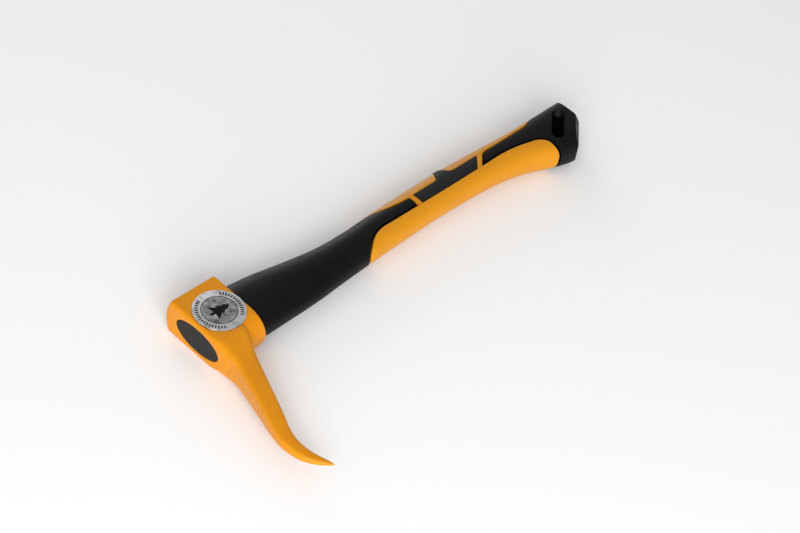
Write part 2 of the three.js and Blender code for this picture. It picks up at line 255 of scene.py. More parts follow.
class Finish:
    """A material under construction: its Principled shader and short ways to add nodes in front of it."""

    def __init__(self, name, roughness, metallic=0.0, specular=0.5):
        self.material = bpy.data.materials.new(name)
        self.material.use_nodes = True
        self.tree = self.material.node_tree
        self.shader = self.tree.nodes["Principled BSDF"]
        self.shader.inputs["Roughness"].default_value = roughness
        self.shader.inputs["Metallic"].default_value = metallic
        self.shader.inputs["Specular IOR Level"].default_value = specular
        self.place = self.node("ShaderNodeTexCoord").outputs["Object"]

    def node(self, kind, **settings):
        made = self.tree.nodes.new(kind)
        for key, value in settings.items():
            if hasattr(made, key):
                setattr(made, key, value)
            else:
                made.inputs[key.replace("_", " ")].default_value = value
        return made

    def link(self, output, target):
        self.tree.links.new(output, target)

    def stretched(self, scale):
        mapping = self.node("ShaderNodeMapping", Scale=scale)
        self.link(self.place, mapping.inputs["Vector"])
        return mapping.outputs["Vector"]

    def noise(self, scale, detail=3.0, roughness=0.5, vector=None):
        made = self.node("ShaderNodeTexNoise", Scale=scale, Detail=detail, Roughness=roughness)
        self.link(vector or self.place, made.inputs["Vector"])
        return made.outputs["Fac"]

    def cells(self, scale):
        made = self.node("ShaderNodeTexVoronoi", Scale=scale)
        self.link(self.place, made.inputs["Vector"])
        return made.outputs["Distance"]

    def ramp(self, value, *stops):
        made = self.node("ShaderNodeValToRGB")
        elements = made.color_ramp.elements
        while len(elements) < len(stops):
            elements.new(0.5)
        for element, (at, colour) in zip(elements, stops):
            element.position = at
            element.color = (*colour, 1)
        self.link(value, made.inputs["Fac"])
        return made.outputs["Color"]

    def mixed(self, mask, first, colour):
        made = self.node("ShaderNodeMix", data_type="RGBA")
        self.link(mask, made.inputs["Factor"])
        self.link(first, made.inputs["A"])
        made.inputs["B"].default_value = (*colour, 1)
        return made.outputs["Result"]

    def span(self, value, low, high, from_low=0.3, from_high=0.7):
        made = self.node("ShaderNodeMapRange", From_Min=from_low, From_Max=from_high, To_Min=low, To_Max=high)
        self.link(value, made.inputs["Value"])
        return made.outputs["Result"]

    def math(self, operation, a, b):
        made = self.node("ShaderNodeMath", operation=operation)
        for index, value in enumerate((a, b)):
            if isinstance(value, (int, float)):
                made.inputs[index].default_value = value
            else:
                self.link(value, made.inputs[index])
        return made.outputs["Value"]

    def bump(self, height, distance, strength=1.0, under=None):
        made = self.node("ShaderNodeBump", Strength=strength, Distance=distance)
        self.link(height, made.inputs["Height"])
        if under:
            self.link(under, made.inputs["Normal"])
        return made.outputs["Normal"]

    def wear(self, **sockets):
        """Joins worked-out values to the shader's own sockets."""
        for key, output in sockets.items():
            self.link(output, self.shader.inputs[key.replace("_", " ")])
        return self.material


def add_piece(name, bm, materials, stands_for, smooth_below):
    """Puts a finished mesh, made in tool millimetres, where the tool lies, and lets it ride with the tool."""
    bmesh.ops.remove_doubles(bm, verts=bm.verts, dist=1e-4)
    for edge in bm.edges:
        edge.smooth = len(edge.link_faces) == 2 and edge.calc_face_angle(0) < math.radians(smooth_below)
    for face in bm.faces:
        face.smooth = True
    bmesh.ops.transform(bm, matrix=tool_place, verts=bm.verts)
    mesh = bpy.data.meshes.new(name)
    bm.to_mesh(mesh)
    bm.free()
    piece = bpy.data.objects.new(name, mesh)
    bpy.context.scene.collection.objects.link(piece)
    for material in materials:
        mesh.materials.append(material)
    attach(piece, "root")
    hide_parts(*stands_for)


lacquer = Finish("orange_lacquer", roughness=0.3, specular=0.24)
lacquer_tone = lacquer.noise(55, detail=4)
lacquer_colour = lacquer.ramp(
    lacquer_tone, (0.3, (0.63, 0.225, 0.0008)), (0.7, (0.66, 0.240, 0.0012)))
blast_marks = lacquer.noise(900, detail=2)
forge_waves = lacquer.noise(160, detail=3)
lacquer_skin = lacquer.bump(blast_marks, 0.00003, 0.25)
lacquer_skin = lacquer.bump(forge_waves, 0.00012, 0.3, lacquer_skin)
hammer_marks = lacquer.noise(1, detail=3, vector=lacquer.stretched((900, 420, 900)))
flecks = lacquer.span(hammer_marks, 0, 1, 0.6, 0.68)
fleck_patches = lacquer.span(lacquer.noise(45, detail=2), 0, 1, 0.5, 0.58)
fleck_mask = lacquer.math("MULTIPLY", flecks, fleck_patches)
lacquer_colour = lacquer.mixed(lacquer.math("MULTIPLY", fleck_mask, 0.5), lacquer_colour, (0.84, 0.39, 0.03))
lacquer_skin = lacquer.bump(fleck_mask, 0.00003, 0.3, lacquer_skin)
lacquer_gloss = lacquer.span(lacquer.noise(220, detail=4), 0.24, 0.38)
add_piece(
    "pick_head_forging", head_mesh,
    [lacquer.wear(Base_Color=lacquer_colour, Roughness=lacquer_gloss, Normal=lacquer_skin)],
    stands_for=("pick_head",), smooth_below=60)

# ---------------------------------------------------------------------------------------------
# What fills the eye: a rubber ring at the neck, the end of the glass rod and the grey resin that is
# poured round it. These keep their CAD shapes, and only the resin's open end is seen.
def dress(node_name, material):
    """Gives a CAD shape its material."""
    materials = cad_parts[node_name].data.materials
    materials.clear()
    materials.append(material)


resin = Finish("grey_cast_resin", roughness=0.55, specular=0.18)
resin_grit = resin.cells(1400)
resin_colour = resin.ramp(
    resin.noise(260, detail=5), (0.3, (0.0145, 0.0140, 0.0145)), (0.75, (0.020, 0.0193, 0.020)))
resin_skin = resin.bump(resin_grit, 0.00004, 0.4)
dress("eye_resin", resin.wear(Base_Color=resin_colour, Normal=resin_skin))

rubber = Finish("ring_rubber", roughness=0.8, specular=0.3)
rubber_colour = rubber.ramp(
    rubber.noise(400, detail=4), (0.3, (0.008, 0.008, 0.008)), (0.7, (0.016, 0.016, 0.016)))
rubber_skin = rubber.bump(rubber.noise(1500), 0.00003, 0.6)
dress("resin_dam", rubber.wear(Base_Color=rubber_colour, Normal=rubber_skin))

glass = Finish("glass_rod", roughness=0.35, specular=0.5)
strands = glass.noise(1, detail=4, vector=glass.stretched((40, 2600, 2600)))
glass_colour = glass.ramp(strands, (0.3, (0.42, 0.40, 0.24)), (0.7, (0.66, 0.64, 0.45)))
glass_skin = glass.bump(strands, 0.00004, 0.5)
dress("fibreglass_core", glass.wear(Base_Color=glass_colour, Normal=glass_skin))

glue = Finish("badge_adhesive", roughness=0.3, specular=0.5)
glue_colour = glue.ramp(glue.noise(500, detail=3), (0.3, (0.55, 0.54, 0.48)), (0.7, (0.70, 0.69, 0.62)))
dress("badge_glue", glue.wear(Base_Color=glue_colour))

# ---------------------------------------------------------------------------------------------
# Badge: a thin stamped aluminium disc glued into a shallow pocket in the cheek. Its face is printed in
# black: a circle, two arcs of plain ticks outside it and a plain conifer in the middle.
BADGE_TOP, BADGE_LOW, BADGE_EDGE = 15.52, 14.8, 0.3
PRINT_LOW, PRINT_TOP = 15.5, 15.56
CIRCLE_RADIUS, CIRCLE_WIDE = 13.2, 0.55
TICK_RADIUS, TICK_LONG, TICK_WIDE, TICK_STEP = 16.4, 2.5, 1.05, 2.15
TICK_ARCS = ((-52, 46), (113, 242))


def joined(*parts):
    """Several finished meshes in one."""
    whole = bmesh.new()
    for part in parts:
        mesh = bpy.data.meshes.new("part")
        part.to_mesh(mesh)
        part.free()
        whole.from_mesh(mesh)
        bpy.data.meshes.remove(mesh)
    return whole


def print_shape(outline):
    """One flat printed shape, as a very thin plate on the badge's face."""
    bm = bmesh.new()
    shape = bm.faces.new([bm.verts.new((BADGE_X + x, y, PRINT_LOW)) for x, y in outline])
    lifted = bmesh.ops.extrude_face_region(bm, geom=[shape], use_keep_orig=True)
    bmesh.ops.translate(
        bm, vec=(0, 0, PRINT_TOP - PRINT_LOW),
        verts=[g for g in lifted["geom"] if isinstance(g, bmesh.types.BMVert)])
    return faced_out(bm)


def printed_circle(radius, width):
    """A thin printed ring, turned from one small rectangle."""
    bm = bmesh.new()
    bmesh.ops.create_grid(bm, x_segments=1, y_segments=1, size=0.5, matrix=(
        Matrix.Translation((BADGE_X + radius, 0, (PRINT_LOW + PRINT_TOP) / 2))
        @ Matrix.Diagonal((width, 1, PRINT_TOP - PRINT_LOW, 1))
        @ Matrix.Rotation(math.pi / 2, 4, "X")))
    bmesh.ops.spin(
        bm, geom=bm.verts[:] + bm.edges[:] + bm.faces[:], cent=(BADGE_X, 0, 0), axis=(0, 0, 1),
        angle=2 * math.pi, steps=96, use_merge=True, use_normal_flip=False, use_duplicate=False)
    bmesh.ops.remove_doubles(bm, verts=bm.verts, dist=1e-4)
    inner = [f for f in bm.faces if all(abs(v.co.y) < 1e-4 for v in f.verts)]
    bmesh.ops.delete(bm, geom=inner, context="FACES_ONLY")
    return faced_out(bm)


prints = [printed_circle(CIRCLE_RADIUS, CIRCLE_WIDE)]
for arc_start, arc_end in TICK_ARCS:
    count = round(math.radians(arc_end - arc_start) * TICK_RADIUS / TICK_STEP)
    for i in range(count + 1):
        turn = math.radians(arc_start + (arc_end - arc_start) * i / count)
        corners = [(-TICK_LONG / 2, -TICK_WIDE / 2), (TICK_LONG / 2, -TICK_WIDE / 2),
                   (TICK_LONG / 2, TICK_WIDE / 2), (-TICK_LONG / 2, TICK_WIDE / 2)]
        prints.append(print_shape([
            ((TICK_RADIUS + x) * math.cos(turn) - y * math.sin(turn),
             (TICK_RADIUS + x) * math.sin(turn) + y * math.cos(turn)) for x, y in corners]))
CONIFER_HALF = (
    (9.4, 0), (4.1, 3.5), (4.9, 1.6), (-0.5, 5.3), (0.6, 2.7),
    (-5.6, 7.0), (-4.6, 1.1), (-8.4, 1.1), (-8.4, 0),
)
conifer = [*CONIFER_HALF, *((x, -y) for x, y in reversed(CONIFER_HALF[1:-1]))]
prints.append(print_shape(conifer))

badge_disc = round_disc(BADGE_RADIUS, BADGE_LOW, BADGE_TOP, around=128)
badge_rim = [e for e in badge_disc.edges if all(abs(v.co.z - BADGE_TOP) < 1e-6 for v in e.verts)]
bmesh.ops.bevel(
    badge_disc, geom=badge_rim, offset=BADGE_EDGE, offset_type="OFFSET", segments=3, profile=0.5,
    affect="EDGES", material=-1)
printed = joined(*prints)
for face in printed.faces:
    face.material_index = 1
badge_mesh = joined(badge_disc, printed)

stamped = Finish("stamped_aluminium", roughness=0.3, metallic=1.0)
badge_middle = tool_place @ Vector((BADGE_X, 0, BADGE_TOP))
from_middle = stamped.node("ShaderNodeVectorMath", operation="DISTANCE")
stamped.link(stamped.place, from_middle.inputs[0])
from_middle.inputs[1].default_value = badge_middle
FIELD_EDGE = (0.0128, 0.0136)  # the brighter outer field starts here, in metres from the badge's middle
field = stamped.span(from_middle.outputs["Value"], 0, 1, *FIELD_EDGE)
mottle = stamped.noise(190, detail=5, roughness=0.6)
brushing = stamped.noise(1, detail=3, vector=stamped.stretched((260, 2400, 260)))
shade = stamped.math("ADD", stamped.math("MULTIPLY", mottle, 0.7), stamped.math("MULTIPLY", brushing, 0.3))
shade = stamped.math("ADD", shade, stamped.math("MULTIPLY", field, 0.2))
metal_colour = stamped.ramp(
    shade, (0.36, (0.16, 0.165, 0.175)), (0.52, (0.36, 0.365, 0.375)), (0.72, (0.72, 0.72, 0.72)))
metal_gloss = stamped.span(mottle, 0.26, 0.5)
metal_skin = stamped.bump(mottle, 0.00015, 0.5)
enamel = Finish("black_print", roughness=0.45, specular=0.1)
enamel_colour = enamel.ramp(
    enamel.noise(600, detail=3), (0.3, (0.003, 0.003, 0.003)), (0.7, (0.007, 0.007, 0.007)))
add_piece(
    "badge_plate", badge_mesh,
    [stamped.wear(Base_Color=metal_colour, Roughness=metal_gloss, Normal=metal_skin),
     enamel.wear(Base_Color=enamel_colour)],
    stands_for=("badge_disc",), smooth_below=30)

# ---------------------------------------------------------------------------------------------
# Handle body: hard black moulding round the rod. It is one skin from the neck to the flared butt,
# with recesses for the grip and the thumb rest, and a slot through the butt to hang it up by.

# Place along X, spine, belly, half thickness and squareness of the section.
HANDLE = (
    (19, 22.6, -27.2, 12.8, 2.5),
    (45, 20.1, -27, 12.4, 2.4),
    (75, 14.9, -26.4, 12.1, 2.2),
    (105, 10.3, -24.1, 12, 2.2),
    (130, 9.7, -22.5, 12, 2.2),
    (165, 11.4, -21, 12, 2.2),
    (205, 12.6, -19.7, 12, 2.2),
    (245, 12.4, -20.1, 12.2, 2.2),
    (280, 10.8, -22.3, 12.6, 2.3),
    (305, 9, -27.1, 13.4, 2.5),
    (325, 8.2, -33.6, 14.4, 2.8),
    (345, 7.9, -38.6, 15.3, 3),
    (386, 8.4, -39, 15.3, 3),
)
HANDLE_START, BUTT_X = NECK_X + 0.3, 370.5
LAND_TOP, REAR_LAND_TOP, LAND_LOW = 1.5, 2.0, -9.5
# The grip's bars: middle at the top, middle at the bottom, width at the top, width at the bottom.
Bar = namedtuple("Bar", "top_x low_x top_width low_width")
FRONT_BAR = Bar(195.8, 195.8, 4.1, 4.1)
REAR_BAR = Bar(273.7, 260.4, 6.6, 4.8)
# Each outline is drawn on the tool's side, as straight (two points) and curved (three points) runs.
BELLY_PANEL = (
    ((123.5, -30), (139, -16)),
    ((139, -16), (146.5, LAND_LOW), (158, LAND_LOW)),
    ((158, LAND_LOW), (284, LAND_LOW)),
    ((284, LAND_LOW), (300, -10.4), (312, -14.3)),
    ((312, -14.3), (326.3, -17.2), (327.2, -27)),
    ((327.2, -27), (327.9, -31.5), (329.4, -36)),
    ((329.4, -36), (330, -46)),
)
FRONT_SPINE = (
    ((146, 20), (150, 12.3)),
    ((150, 12.3), (170, 2.3), (191, LAND_TOP)),
    ((191, LAND_TOP), (221.5, LAND_TOP)),
    ((221.5, LAND_TOP), (224.5, LAND_TOP), (225.6, 4.4)),
    ((225.6, 4.4), (229.7, 9.1)),
    ((229.7, 9.1), (233, 12.8)),
    ((233, 12.8), (233, 20)),
)
REAR_SPINE = (
    ((236, 20), (236.8, 10)),
    ((236.8, 10), (239, 4)),
    ((239, 4), (239.6, REAR_LAND_TOP), (243, REAR_LAND_TOP)),
    ((243, REAR_LAND_TOP), (318, REAR_LAND_TOP)),
    ((318, REAR_LAND_TOP), (333, 1.4), (338, 10.5)),
    ((338, 10.5), (340, 20)),
)


def handle_section(x):
    """The handle's ring at x."""
    spine, belly = table_value(HANDLE, 1, x), table_value(HANDLE, 2, x)
    return (
        Vector((x, (spine + belly) / 2, 0)), Vector((0, 1, 0)), (spine - belly) / 2,
        table_value(HANDLE, 3, x), table_value(HANDLE, 4, x),
    )


half_rings = {}


def half_ring(x):
    """The skin at x, from the belly up to the spine: girth so far, Y, Z and the way outwards in Y and Z."""
    key = round(x, 3)
    if key not in half_rings:
        middle, _, width, thickness, power = handle_section(x)
        turns = np.linspace(0, math.pi, 121)
        y = np.array([middle.y - width * squared(math.cos(t), power) for t in turns])
        z = np.array([thickness * squared(max(math.sin(t), 0), power) for t in turns])
        girth = np.concatenate([[0], np.cumsum(np.hypot(np.diff(y), np.diff(z)))])
        along_y, along_z = np.gradient(y), np.gradient(z)
        length = np.hypot(along_y, along_z)
        half_rings[key] = girth, y, z, -along_z / length, along_y / length
    return half_rings[key]


def on_skin(flat, from_spine):
    """Bends a flat point (X, girth from the spine or belly, height over the skin) round the handle."""
    girth, y, z, out_y, out_z = half_ring(flat.x)
    at = girth[-1] - abs(flat.y) if from_spine else abs(flat.y)
    side = -1 if flat.y < 0 else 1
    return Vector((
        flat.x,
        np.interp(at, girth, y) + flat.z * np.interp(at, girth, out_y),
        side * (np.interp(at, girth, z) + flat.z * np.interp(at, girth, out_z)),
    ))


RUN_SAMPLES, OUTLINE_STEP = 300, 1.2


def run_point(run, t):
    """The point at share t of a straight or curved run."""
    points = [Vector(p) for p in run]
    if len(points) == 2:
        return points[0].lerp(points[1], t)
    return points[0].lerp(points[1], t).lerp(points[1].lerp(points[2], t), t)


def flattened(outline, from_spine):
    """The part of an outline that lies on the handle, unrolled to (X, girth), run by run, evenly spaced."""
    flat = []
    for run in outline:
        stretch, was_inside = [], None
        for i in range(RUN_SAMPLES + 1):
            point = run_point(run, i / RUN_SAMPLES)
            girth, y = half_ring(point.x)[:2]
            inside = y[0] < point.y < y[-1]
            at = float(np.interp(point.y, y, girth))
            if inside or (was_inside is not None and inside != was_inside):
                stretch.append(Vector((point.x, girth[-1] - at if from_spine else at)))
            was_inside = inside
        if len(stretch) < 2:
            continue
        lengths = np.concatenate([[0], np.cumsum([(b - a).length for a, b in zip(stretch, stretch[1:])])])
        count = max(1, round(lengths[-1] / OUTLINE_STEP))
        for i in range(count + 1):
            at = lengths[-1] * i / count
            point = Vector([np.interp(at, lengths, [p[axis] for p in stretch]) for axis in (0, 1)])
            if not flat or (point - flat[-1]).length > 0.05:
                flat.append(point)
    return flat


def both_sides(near):
    """An unrolled outline that starts and ends on the spine or belly, with its mirror image beyond it."""
    near = [p.copy() for p in near]
    near[0].y = near[-1].y = 0
    return near + [Vector((p.x, -p.y)) for p in reversed(near[1:-1])]


def widened(outline, by):
    """A closed outline moved outwards everywhere by the same amount."""
    area = sum(a.x * b.y - b.x * a.y for a, b in zip(outline, outline[1:] + outline[:1]))
    turn = 1 if area > 0 else -1
    moved = []
    for before, point, after in zip(outline[-1:] + outline[:-1], outline, outline[1:] + outline[:1]):
        first, second = ((b - a).normalized() for a, b in ((before, point), (point, after)))
        first, second = (Vector((d.y, -d.x)) * turn for d in (first, second))
        moved.append(point + (first + second) * (by / max(0.4, 1 + first.dot(second))))
    return moved


def raised(outline, low, high, edge):
    """A flat plate with a rounded upper edge, from low to high over the skin."""
    bm = bmesh.new()
    plate = bm.faces.new([bm.verts.new((p.x, p.y, low)) for p in outline])
    lifted = bmesh.ops.extrude_face_region(bm, geom=[plate], use_keep_orig=True)
    bmesh.ops.translate(
        bm, vec=(0, 0, high - low), verts=[g for g in lifted["geom"] if isinstance(g, bmesh.types.BMVert)])
    bmesh.ops.recalc_face_normals(bm, faces=bm.faces)
    rim = [e for e in bm.edges if all(abs(v.co.z - high) < 1e-6 for v in e.verts)]
    bmesh.ops.bevel(
        bm, geom=rim, offset=edge, offset_type="OFFSET", segments=3, profile=0.5, affect="EDGES",
        material=-1)
    return bm


def recess(outline, gap, floor, rim):
    """What is cut away for a plate: a little wider than the plate, with a sloped rim at the skin."""
    above = 1.0  # the cutter starts this far over the skin
    bm = bmesh.new()
    plate = bm.faces.new([bm.verts.new((p.x, p.y, above)) for p in widened(outline, gap + rim + above)])
    bmesh.ops.inset_region(bm, faces=[plate], thickness=rim + above, use_even_offset=True, use_boundary=True)
    for vert in plate.verts:
        vert.co.z = -rim
    sunk = bmesh.ops.extrude_face_region(bm, geom=[plate])
    for vert in [g for g in sunk["geom"] if isinstance(g, bmesh.types.BMVert)]:
        vert.co.z = floor
    for face in [f for f in bm.faces if f.is_valid and all(abs(v.co.z + rim) < 1e-6 for v in f.verts)]:
        bm.faces.remove(face)
    bmesh.ops.holes_fill(bm, edges=[e for e in bm.edges if e.is_boundary], sides=0)
    bmesh.ops.recalc_face_normals(bm, faces=bm.faces)
    return bm


NET_ALONG, NET_ROUND = 3.0, 1.6


def bent(bm, from_spine, swell=None):
    """Cuts a flat plate into a fine net and bends it round the handle; only its outer face may swell."""
    for axis, step in ((0, NET_ALONG), (1, NET_ROUND)):
        places = [v.co[axis] for v in bm.verts]
        first, last = math.ceil(min(places) / step), math.floor(max(places) / step)
        for index in range(first, last + 1):
            plane = Vector((0, 0, 0))
            plane[axis] = index * step
            normal = Vector((0, 0, 0))
            normal[axis] = 1
            bmesh.ops.bisect_plane(
                bm, geom=bm.verts[:] + bm.edges[:] + bm.faces[:], dist=1e-4, plane_co=plane, plane_no=normal)
    for vert in bm.verts:
        flat = vert.co.copy()
        if swell and flat.z > -1:
            flat.z += swell(flat.x, abs(flat.y))
        vert.co = on_skin(flat, from_spine)
    return faced_out(bm)


belly_plan = both_sides(flattened(BELLY_PANEL, from_spine=False))
front_plan = both_sides(flattened(FRONT_SPINE, from_spine=True))
rear_plan = both_sides(flattened(REAR_SPINE, from_spine=True))

# The body's recesses: the gap round each plate, the sloped rim at the skin, the depths of the floors,
# and how far the middle recess stops short of the bars' outer edges before the gap is added.
PANEL_GAP, RIM = 0.45, 0.35
PANEL_FLOOR, STRIP_FLOOR, MIDDLE_FLOOR = -3.25, -3.15, -2.8
BAR_TUCK, REAR_TOP_TUCK = 0.3, 0.6
middle_front = FRONT_BAR.top_x - FRONT_BAR.top_width / 2 + BAR_TUCK
middle_rear_low = REAR_BAR.low_x + REAR_BAR.low_width / 2 - BAR_TUCK
middle_rear_top = REAR_BAR.top_x + REAR_BAR.top_width / 2 - REAR_TOP_TUCK
middle_plan = both_sides(flattened((
    ((222, 20), (222, 4)),
    ((222, 4), (middle_front, 4)),
    ((middle_front, 4), (middle_front, LAND_LOW - 1)),
    ((middle_front, LAND_LOW - 1), (middle_rear_low, LAND_LOW - 1)),
    ((middle_rear_low, LAND_LOW - 1), (middle_rear_top, REAR_LAND_TOP + 1)),
    ((middle_rear_top, REAR_LAND_TOP + 1), (250, 4)),
    ((250, 4), (250, 20)),
), from_spine=True))
recesses = [
    ("DIFFERENCE", scratch_object("recess", bent(recess(plan, PANEL_GAP, floor, RIM), from_spine)))
    for plan, floor, from_spine in (
        (belly_plan, PANEL_FLOOR, False), (front_plan, STRIP_FLOOR, True), (rear_plan, STRIP_FLOOR, True),
        (middle_plan, MIDDLE_FLOOR, True),
    )
]

BUTT_EDGE, BUTT_EDGE_DEPTH, BUTT_CORNER = 4.0, 7.0, 0.7
BUTT_END = BUTT_X - BUTT_EDGE
BUTT_OUTLINE = (
    ((10, -60), (10, 36)),
    ((10, 36), (335, 36)),
    ((335, 36), (351.3, 5.2)),
    ((351.3, 5.2), (BUTT_END, 4.6)),
    ((BUTT_END, 4.6), (BUTT_END, -13.5)),
    ((BUTT_END, -13.5), (BUTT_END, -15.8), (BUTT_END - 1.8, -17.3)),
    ((BUTT_END - 1.8, -17.3), (349.5, -30.7)),
    ((349.5, -30.7), (342, -37.5), (328, -46)),
    ((328, -46), (312, -60)),
)


def butt_blank():
    """The butt's side outline as a thick plate with deep chamfered edges: the handle is trimmed to it."""
    outline = []
    for run in BUTT_OUTLINE:
        pieces = 1 if len(run) == 2 else 7
        outline += [run_point(run, i / pieces) for i in range(pieces)]
    flatter = BUTT_EDGE / BUTT_EDGE_DEPTH
    bm = bmesh.new()
    side = bm.faces.new([bm.verts.new((p.x, p.y, -CHEEK * flatter)) for p in widened(outline, BUTT_EDGE)])
    lifted = bmesh.ops.extrude_face_region(bm, geom=[side], use_keep_orig=True)
    far = [g for g in lifted["geom"] if isinstance(g, bmesh.types.BMVert)]
    bmesh.ops.translate(bm, vec=(0, 0, 2 * CHEEK * flatter), verts=far)
    bmesh.ops.recalc_face_normals(bm, faces=bm.faces)
    rims = [e for e in bm.edges if abs(e.verts[0].co.z - e.verts[1].co.z) < 1e-6]
    bmesh.ops.bevel(
        bm, geom=rims, offset=BUTT_EDGE, offset_type="OFFSET", segments=1, profile=0.5, affect="EDGES",
        material=-1)
    bmesh.ops.scale(bm, vec=(1, 1, 1 / flatter), verts=bm.verts)
    ridges = [e for e in bm.edges if e.calc_face_angle(0) > math.radians(20)]
    bmesh.ops.bevel(
        bm, geom=ridges, offset=BUTT_CORNER, offset_type="OFFSET", segments=3, profile=0.5, affect="EDGES",
        material=-1)
    return faced_out(bm)


SLOT_MIDDLE, SLOT_ANGLE = (346.5, -14.5), math.radians(42)
SLOT_RADIUS = 4.5
# Depth under the cheek, half length of the straight sides and how much wider the slot is there.
SLOT_LEVELS = ((-1, 12.3, 1.2), (0.3, 11.7, 0.6), (4.5, 8.6, 0))


def hang_slot():
    """The hanging slot: a long round-ended hole that opens out at both mouths."""
    around = 64
    levels = [(depth - CHEEK, half, SLOT_RADIUS + wider) for depth, half, wider in SLOT_LEVELS]
    levels += [(-z, half, radius) for z, half, radius in reversed(levels)]
    bm = bmesh.new()
    rings = []
    for z, half, radius in levels:
        ring = bmesh.ops.create_circle(bm, segments=around, radius=radius, matrix=(
            Matrix.Translation((0, 0, z)) @ Matrix.Rotation(math.pi / around, 4, "Z")))["verts"]
        for vert in ring:
            vert.co.x += math.copysign(half, vert.co.x)
        rings.append(list({e for v in ring for e in v.link_edges}))
    for lower, upper in zip(rings, rings[1:]):
        bmesh.ops.bridge_loops(bm, edges=lower + upper)
    bmesh.ops.holes_fill(bm, edges=[e for e in bm.edges if e.is_boundary], sides=0)
    bmesh.ops.rotate(bm, cent=(0, 0, 0), matrix=Matrix.Rotation(SLOT_ANGLE, 3, "Z"), verts=bm.verts)
    bmesh.ops.translate(bm, vec=(*SLOT_MIDDLE, 0), verts=bm.verts)
    bmesh.ops.recalc_face_normals(bm, faces=bm.faces)
    return bm


CORE_START, CORE_END, CORE_Y, CORE_WIDE, CORE_THICK = -17.3, 322.3, -4.5, 9.3, 5.3


def core_hole(x):
    """The hole for the glass rod, with a little room round it."""
    return Vector((x, CORE_Y, 0)), Vector((0, 1, 0)), CORE_WIDE, CORE_THICK, 3


body_blank = scratch_object("body_blank", loft(120, 150, handle_section, HANDLE_START, BUTT_X + 3))
body_mesh = machined(body_blank, [
    ("INTERSECT", scratch_object("butt_blank", butt_blank())),
    *recesses,
    ("DIFFERENCE", scratch_object("slot_cut", hang_slot())),
    ("DIFFERENCE", scratch_object("core_cut", loft(32, 2, core_hole, CORE_START, CORE_END))),
])


def moulded_skin_group():
    """The skin that a moulding takes from its tool: cloudy colour, uneven gloss and a fine grain."""
    group = bpy.data.node_groups.new("moulded_skin", "ShaderNodeTree")
    sockets = (
        ("Place", "INPUT", "NodeSocketVector"), ("Dark Colour", "INPUT", "NodeSocketColor"),
        ("Light Colour", "INPUT", "NodeSocketColor"), ("Grain Scale", "INPUT", "NodeSocketFloat"),
        ("Grain Strength", "INPUT", "NodeSocketFloat"), ("Shiny", "INPUT", "NodeSocketFloat"),
        ("Dull", "INPUT", "NodeSocketFloat"), ("Colour", "OUTPUT", "NodeSocketColor"),
        ("Roughness", "OUTPUT", "NodeSocketFloat"), ("Normal", "OUTPUT", "NodeSocketVector"),
    )
    for name, side, kind in sockets:
        group.interface.new_socket(name=name, in_out=side, socket_type=kind)
    start, end = group.nodes.new("NodeGroupInput"), group.nodes.new("NodeGroupOutput")

    def textured(kind, **values):
        made = group.nodes.new(kind)
        for key, value in values.items():
            made.inputs[key.replace("_", " ")].default_value = value
        group.links.new(start.outputs["Place"], made.inputs["Vector"])
        return made

    cloud = textured("ShaderNodeTexNoise", Scale=90, Detail=3)
    cloud_share = group.nodes.new("ShaderNodeMapRange")
    patches = textured("ShaderNodeTexNoise", Scale=280, Detail=4)
    patch_gloss = group.nodes.new("ShaderNodeMapRange")
    for spread in (cloud_share, patch_gloss):
        spread.inputs["From Min"].default_value = 0.3
        spread.inputs["From Max"].default_value = 0.7
    blend = group.nodes.new("ShaderNodeMix")
    blend.data_type = "RGBA"
    grain = textured("ShaderNodeTexVoronoi")
    dents = group.nodes.new("ShaderNodeBump")
    dents.inputs["Distance"].default_value = 0.00004
    for output, target in (
        (cloud.outputs["Fac"], cloud_share.inputs["Value"]),
        (cloud_share.outputs["Result"], blend.inputs["Factor"]),
        (start.outputs["Dark Colour"], blend.inputs["A"]),
        (start.outputs["Light Colour"], blend.inputs["B"]),
        (blend.outputs["Result"], end.inputs["Colour"]),
        (patches.outputs["Fac"], patch_gloss.inputs["Value"]),
        (start.outputs["Shiny"], patch_gloss.inputs["To Min"]),
        (start.outputs["Dull"], patch_gloss.inputs["To Max"]),
        (patch_gloss.outputs["Result"], end.inputs["Roughness"]),
        (start.outputs["Grain Scale"], grain.inputs["Scale"]),
        (grain.outputs["Distance"], dents.inputs["Height"]),
        (start.outputs["Grain Strength"], dents.inputs["Strength"]),
        (dents.outputs["Normal"], end.inputs["Normal"]),
    ):
        group.links.new(output, target)
    return group


moulded_skin = moulded_skin_group()


def moulding(name, specular, dark, light, grain_scale, grain_strength, shiny, dull):
    """A moulded material: the shared skin with this material's own colours, grain and gloss."""
    finish = Finish(name, roughness=(shiny + dull) / 2, specular=specular)
    skin = finish.tree.nodes.new("ShaderNodeGroup")
    skin.node_tree = moulded_skin
    finish.link(finish.place, skin.inputs["Place"])
    for key, value in (
        ("Dark Colour", (*dark, 1)), ("Light Colour", (*light, 1)), ("Grain Scale", grain_scale),
        ("Grain Strength", grain_strength), ("Shiny", shiny), ("Dull", dull),
    ):
        skin.inputs[key].default_value = value
    return finish.wear(
        Base_Color=skin.outputs["Colour"], Roughness=skin.outputs["Roughness"], Normal=skin.outputs["Normal"])


black_hard = moulding(
    "black_hard_moulding", specular=0.13, dark=(0.0018, 0.0018, 0.0019), light=(0.0032, 0.0032, 0.0033),
    grain_scale=2600, grain_strength=0.5, shiny=0.38, dull=0.5)
add_piece(
    "handle_moulding", body_mesh, [black_hard],
    stands_for=("handle_body",), smooth_below=32)

# ---------------------------------------------------------------------------------------------
# Grip: yellow plastic moulded into the body's recesses. A long panel wraps the belly, two strips wrap
# the spine, and on each side two slightly sunk bars join them, one at each end of the thumb rest.
PANEL_BASE, PANEL_EDGE = -3.0, 0.4
BAR_BASE, BAR_TOP, BAR_EDGE = -2.5, -0.35, 0.3


